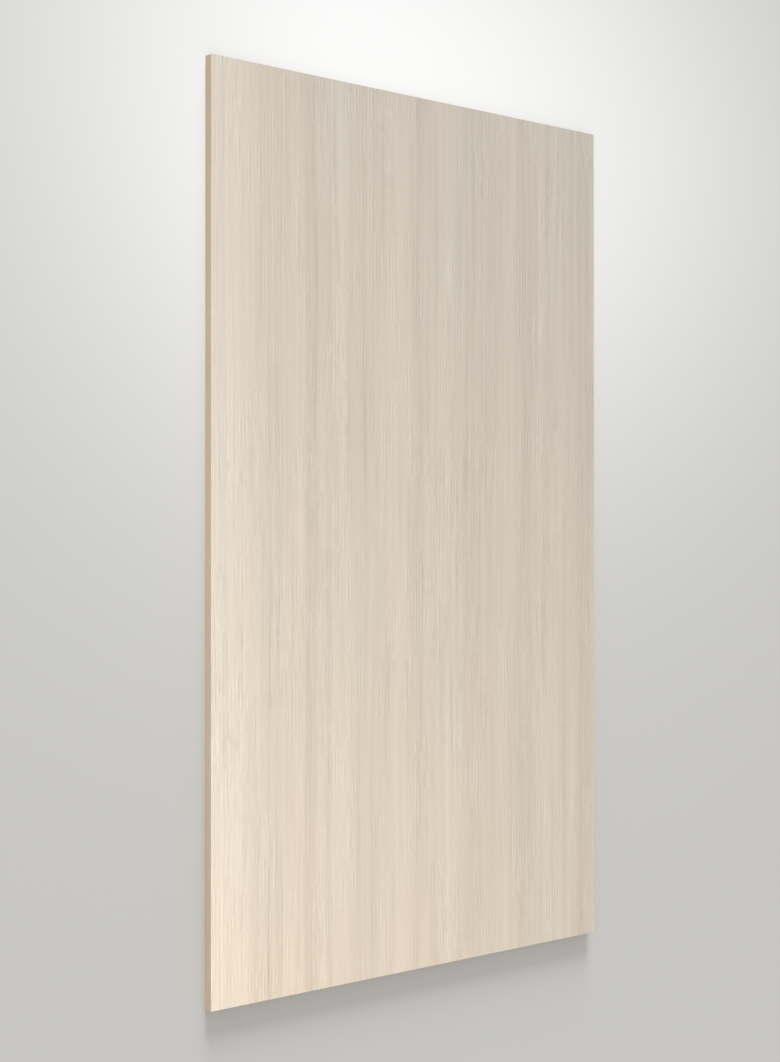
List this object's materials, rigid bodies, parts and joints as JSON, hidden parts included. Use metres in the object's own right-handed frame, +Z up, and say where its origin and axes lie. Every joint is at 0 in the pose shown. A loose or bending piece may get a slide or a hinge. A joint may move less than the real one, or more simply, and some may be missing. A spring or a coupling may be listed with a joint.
{
  "type": "decorative laminate sheet",
  "caption": "Flat rectangular full-size sheet with a straight pale woodgrain face, square-cut tan edges with fine bevelled arrises, and a plain back.",
  "frame": {"origin": "under the middle of the sheet, on the plane of its back face", "axes": "+Z up, out of the decorative face; +Y along the sheet's length and its grain; +X across the grain"},
  "size_m": [1.22, 2.135, 0.025],
  "materials": {
    "woodgrain_laminate": "satin woodgrain print on the face, plain tan edges and sanded back"
  },
  "bodies": {
    "root": {"laminate_sheet": "woodgrain_laminate"}
  },
  "joints": []
}
